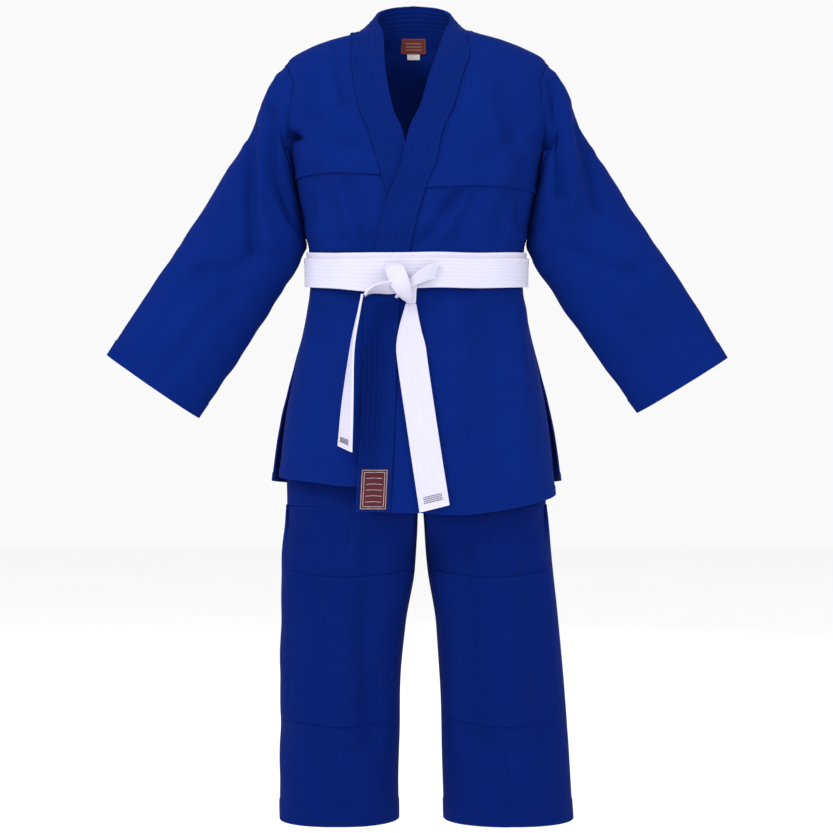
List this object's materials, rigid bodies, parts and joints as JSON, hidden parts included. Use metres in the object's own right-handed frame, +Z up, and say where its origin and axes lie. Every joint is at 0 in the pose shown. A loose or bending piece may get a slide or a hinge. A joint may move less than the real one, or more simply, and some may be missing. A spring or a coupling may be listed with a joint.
{
  "type": "martial arts uniform",
  "caption": "Crossed-front martial arts jacket with a wide quilted collar band, knotted cotton belt and straight trousers, shaped as if worn.",
  "frame": {"origin": "midway between the shoulders at the height of the neck base, where the wearer's or hanger's shoulders carry it", "axes": "+Z up, +X to the wearer's left, the front faces -Y"},
  "size_m": [0.868, 0.2656, 1.148],
  "materials": {
    "jacket_cloth": "matt heavy cotton weave",
    "band_cloth": "quilted cotton band, rows of stitching",
    "trouser_cloth": "matt cotton twill",
    "belt_cotton": "stitched white cotton",
    "patch": "woven patch",
    "neck_label": "woven satin label",
    "size_tab": "woven tape"
  },
  "bodies": {
    "jacket": {"yoke_front_left": "jacket_cloth", "yoke_front_right": "jacket_cloth", "front_left": "jacket_cloth", "front_right": "jacket_cloth", "yoke_back": "jacket_cloth", "back_left": "jacket_cloth", "back_right": "jacket_cloth", "lapel_left": "band_cloth", "lapel_right": "band_cloth", "neck_label": "neck_label", "size_tab": "size_tab", "belt_inner_wrap": "belt_cotton", "belt_outer_wrap": "belt_cotton", "belt_knot": "belt_cotton"},
    "front_skirt": {"skirt_front_left": "jacket_cloth", "skirt_front_right": "jacket_cloth", "lapel_skirt_left": "band_cloth", "lapel_skirt_right": "band_cloth", "lapel_patch": "patch"},
    "back_skirt": {"skirt_back_left": "jacket_cloth", "skirt_back_right": "jacket_cloth"},
    "sleeve_left_arm": {"sleeve_left": "jacket_cloth"},
    "sleeve_right_arm": {"sleeve_right": "jacket_cloth"},
    "tail_left": {"belt_tail_left": "belt_cotton"},
    "tail_right": {"belt_tail_right": "belt_cotton"},
    "trousers": {"waistband": "trouser_cloth", "trouser_seat_left": "trouser_cloth", "trouser_seat_right": "trouser_cloth", "crotch_gusset": "trouser_cloth"},
    "leg_left": {"trouser_leg_left": "trouser_cloth", "knee_patch_left": "trouser_cloth"},
    "leg_right": {"trouser_leg_right": "trouser_cloth", "knee_patch_right": "trouser_cloth"}
  },
  "joints": [
    {"name": "left_sleeve_raise", "type": "hinge", "parent": "jacket", "child": "sleeve_left_arm", "pos_m": [0.179, 0, -0.034], "axis": [0, -1, 0], "range_deg": [0, 60]},
    {"name": "right_sleeve_raise", "type": "hinge", "parent": "jacket", "child": "sleeve_right_arm", "pos_m": [-0.179, 0, -0.034], "axis": [0, 1, 0], "range_deg": [0, 60]},
    {"name": "front_skirt_lift", "type": "hinge", "parent": "jacket", "child": "front_skirt", "pos_m": [0, -0.1073, -0.378], "axis": [-1, 0, 0], "range_deg": [0, 25], "stiffness_Nm_per_rad": 1, "springref_deg": -17.19},
    {"name": "back_skirt_lift", "type": "hinge", "parent": "jacket", "child": "back_skirt", "pos_m": [0, 0.0925, -0.378], "axis": [1, 0, 0], "range_deg": [0, 25], "stiffness_Nm_per_rad": 1, "springref_deg": -17.19},
    {"name": "left_tail_swing", "type": "hinge", "parent": "front_skirt", "child": "tail_left", "pos_m": [-0.0827, -0.12, -0.371], "axis": [-1, 0, 0], "range_deg": [0, 60]},
    {"name": "right_tail_swing", "type": "hinge", "parent": "front_skirt", "child": "tail_right", "pos_m": [-0.0075, -0.1073, -0.378], "axis": [-1, 0, 0], "range_deg": [0, 60]},
    {"name": "trousers_pull_down", "type": "slide", "parent": "jacket", "child": "trousers", "axis": [0, 0, -1], "range_m": [0, 0.25]},
    {"name": "left_leg_swing", "type": "hinge", "parent": "trousers", "child": "leg_left", "pos_m": [0.098, -0.082, -0.65], "axis": [-1, 0, 0], "range_deg": [0, 45], "stiffness_Nm_per_rad": 1, "springref_deg": -17.19},
    {"name": "right_leg_swing", "type": "hinge", "parent": "trousers", "child": "leg_right", "pos_m": [-0.09, -0.082, -0.65], "axis": [-1, 0, 0], "range_deg": [0, 45], "stiffness_Nm_per_rad": 1, "springref_deg": -17.19}
  ]
}
